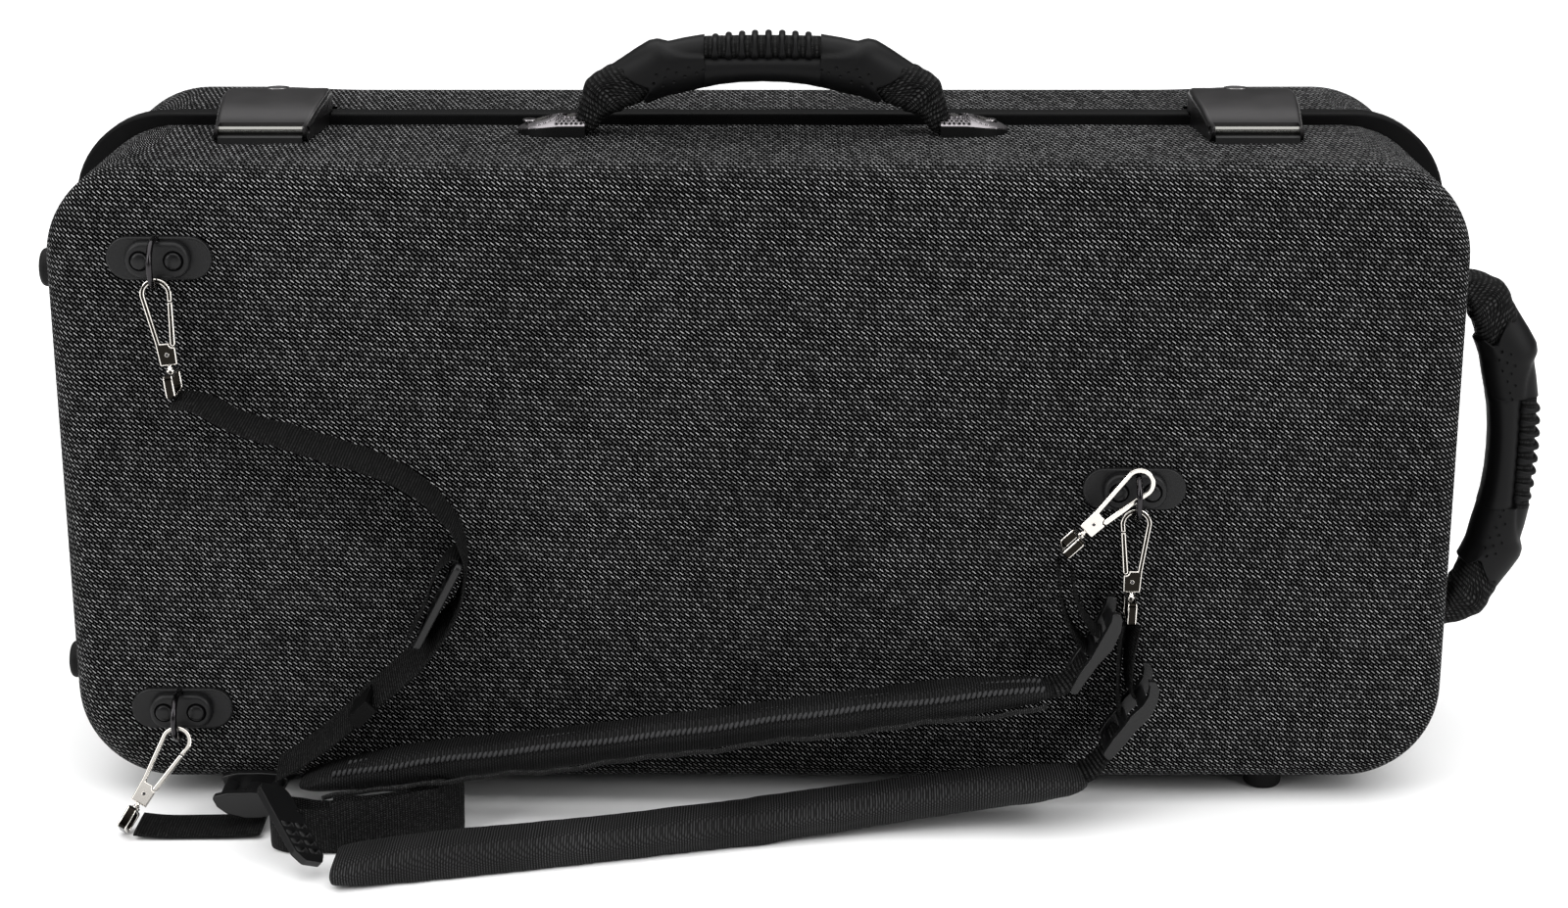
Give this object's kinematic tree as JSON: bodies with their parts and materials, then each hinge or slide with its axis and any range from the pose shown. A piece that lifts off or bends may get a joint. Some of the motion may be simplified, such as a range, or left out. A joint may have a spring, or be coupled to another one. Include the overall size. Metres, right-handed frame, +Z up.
{
  "type": "alto saxophone case",
  "caption": "Hard-shell alto saxophone case with a hinged lid, draw latches, two carrying handles, strap rings with snap hooks and padded shoulder straps.",
  "frame": {"origin": "middle of the base rectangle of the whole part, at the level of the surface it stands on", "axes": "+X along the case's length towards the end handle, +Y towards the lid, +Z up towards the top handle; the case stands on its hinge side"},
  "size_m": [0.6874, 0.282, 0.3484],
  "materials": {
    "woven_cover": "hard woven cover, black with short grey dashes in slanting rows, satin resin coat",
    "shell_core": "moulded inner shell, plain",
    "rim_plastic": "black extrusion, satin",
    "hinge_metal": "dark plated steel",
    "gunmetal": "black nickel, polished",
    "bright_nickel": "nickel plate, polished",
    "ring_plastic": "black, satin",
    "ring_metal": "black wire, satin gloss",
    "pewter": "dark pewter plate, satin",
    "rivet_metal": "black nickel, bright",
    "grip_rubber": "moulded, ribbed, satin",
    "webbing": "woven black polypropylene webbing",
    "strap_plastic": "black acetal, satin",
    "pad_fabric": "ribbed black fabric over foam",
    "foot_rubber": "matt black",
    "plush": "black plush on foam"
  },
  "bodies": {
    "root": {"back_cover": "woven_cover", "back_shell": "shell_core", "foam_insert": "plush", "hinge_leaves_back": "hinge_metal", "hinge_pins": "hinge_metal", "shell_rivets": "rivet_metal", "latch_bases": "ring_plastic", "latch_pins": "bright_nickel", "handle_brackets_top": "gunmetal", "handle_brackets_end": "gunmetal", "bracket_rivets": "rivet_metal", "ring_bases": "ring_plastic", "ring_rivets": "ring_plastic", "feet_back": "foot_rubber", "foot_screws_back": "rivet_metal", "top_handle_webbing": "webbing", "end_handle_webbing": "webbing", "strap_a_webbing": "webbing", "strap_a_slider": "strap_plastic", "strap_a_keeper": "webbing", "strap_a_ladder_lock": "strap_plastic", "strap_a_pad": "pad_fabric", "strap_a_buckle": "strap_plastic", "strap_a_end_loop": "webbing", "strap_b_webbing": "webbing", "strap_b_ladder_lock": "strap_plastic", "strap_b_tail": "webbing", "strap_b_pad": "pad_fabric", "strap_b_buckle": "strap_plastic", "strap_b_end_loop": "webbing"},
    "lid": {"lid_cover": "woven_cover", "lid_shell": "shell_core", "lid_rim_band": "rim_plastic", "lid_foam": "plush", "hinge_leaves_lid": "hinge_metal", "lid_rivets": "rivet_metal", "latch_strikes": "gunmetal", "feet_lid": "foot_rubber", "foot_screws_lid": "rivet_metal"},
    "latch_lever_left": {"latch_lever_left": "pewter"},
    "latch_lever_right": {"latch_lever_right": "pewter"},
    "latch_bail_left": {"latch_bail_left": "gunmetal"},
    "latch_bail_right": {"latch_bail_right": "gunmetal"},
    "top_handle": {"top_handle_grip": "grip_rubber"},
    "end_handle": {"end_handle_grip": "grip_rubber"},
    "ring_upper": {"d_ring_upper": "ring_metal", "hook_1_frame": "bright_nickel", "hook_1_eye": "bright_nickel"},
    "ring_lower": {"d_ring_lower": "ring_metal", "hook_2_frame": "bright_nickel", "hook_2_eye": "bright_nickel"},
    "ring_right": {"d_ring_right": "ring_metal", "hook_3_frame": "bright_nickel", "hook_3_eye": "bright_nickel", "hook_4_frame": "bright_nickel", "hook_4_eye": "bright_nickel"},
    "gate_1": {"hook_1_gate": "bright_nickel"},
    "gate_2": {"hook_2_gate": "bright_nickel"},
    "gate_3": {"hook_3_gate": "bright_nickel"},
    "gate_4": {"hook_4_gate": "bright_nickel"}
  },
  "joints": [
    {"name": "lid_hinge", "type": "hinge", "parent": "root", "child": "lid", "pos_m": [-0.0187, 0.0516, 0.0066], "axis": [-1, 0, 0], "range_deg": [0, 100]},
    {"name": "latch_left", "type": "hinge", "parent": "root", "child": "latch_lever_left", "pos_m": [-0.2437, 0.0115, 0.3059], "axis": [1, 0, 0], "range_deg": [0, 110]},
    {"name": "bail_left", "type": "hinge", "parent": "latch_lever_left", "child": "latch_bail_left", "pos_m": [-0.2437, 0.027, 0.307], "axis": [1, 0, 0], "range_deg": [-55, 0]},
    {"name": "latch_right", "type": "hinge", "parent": "root", "child": "latch_lever_right", "pos_m": [0.2063, 0.0115, 0.3059], "axis": [1, 0, 0], "range_deg": [0, 110]},
    {"name": "bail_right", "type": "hinge", "parent": "latch_lever_right", "child": "latch_bail_right", "pos_m": [0.2063, 0.027, 0.307], "axis": [1, 0, 0], "range_deg": [-55, 0]},
    {"name": "top_handle_fold", "type": "hinge", "parent": "root", "child": "top_handle", "pos_m": [-0.0187, 0.033, 0.3035], "axis": [1, 0, 0], "range_deg": [-45, 60], "deforming": ["top_handle_webbing"]},
    {"name": "end_handle_fold", "type": "hinge", "parent": "root", "child": "end_handle", "pos_m": [0.2988, 0.007, 0.1555], "axis": [0, 0, 1], "range_deg": [-60, 60], "deforming": ["end_handle_webbing"]},
    {"name": "ring_upper_swivel", "type": "hinge", "parent": "root", "child": "ring_upper", "pos_m": [-0.2807, -0.0507, 0.2605], "axis": [0, 0, 1], "range_deg": [-30, 25], "deforming": ["strap_a_webbing"]},
    {"name": "ring_lower_swivel", "type": "hinge", "parent": "root", "child": "ring_lower", "pos_m": [-0.2832, -0.0507, 0.049], "axis": [0, 0, 1], "range_deg": [-22, 30], "deforming": ["strap_b_webbing"]},
    {"name": "ring_right_swivel", "type": "hinge", "parent": "root", "child": "ring_right", "pos_m": [0.1496, -0.0507, 0.1545], "axis": [0, 0, 1], "range_deg": [-4, 22], "deforming": ["strap_a_end_loop", "strap_b_end_loop"]},
    {"name": "gate_1", "type": "hinge", "parent": "ring_upper", "child": "gate_1", "pos_m": [-0.2748, -0.058, 0.22465], "axis": [0, -1, 0], "range_deg": [0, 22], "stiffness_Nm_per_rad": 0.02, "springref_deg": -11.46},
    {"name": "gate_2", "type": "hinge", "parent": "ring_lower", "child": "gate_2", "pos_m": [-0.29219, -0.07315, 0.01997], "axis": [0.1407, -0.8365, 0.5296], "range_deg": [0, 22], "stiffness_Nm_per_rad": 0.02, "springref_deg": -11.46},
    {"name": "gate_3", "type": "hinge", "parent": "ring_right", "child": "gate_3", "pos_m": [0.13569, -0.0615, 0.14355], "axis": [0, -1, 0], "range_deg": [0, 22], "stiffness_Nm_per_rad": 0.02, "springref_deg": -11.46},
    {"name": "gate_4", "type": "hinge", "parent": "ring_right", "child": "gate_4", "pos_m": [0.14596, -0.056, 0.11821], "axis": [0, -1, 0], "range_deg": [-22, 0], "stiffness_Nm_per_rad": 0.02, "springref_deg": 11.46}
  ],
  "couplings": [
    {"joint": "bail_left", "follows": "latch_left", "ratio": -0.5},
    {"joint": "bail_right", "follows": "latch_right", "ratio": -0.5}
  ]
}
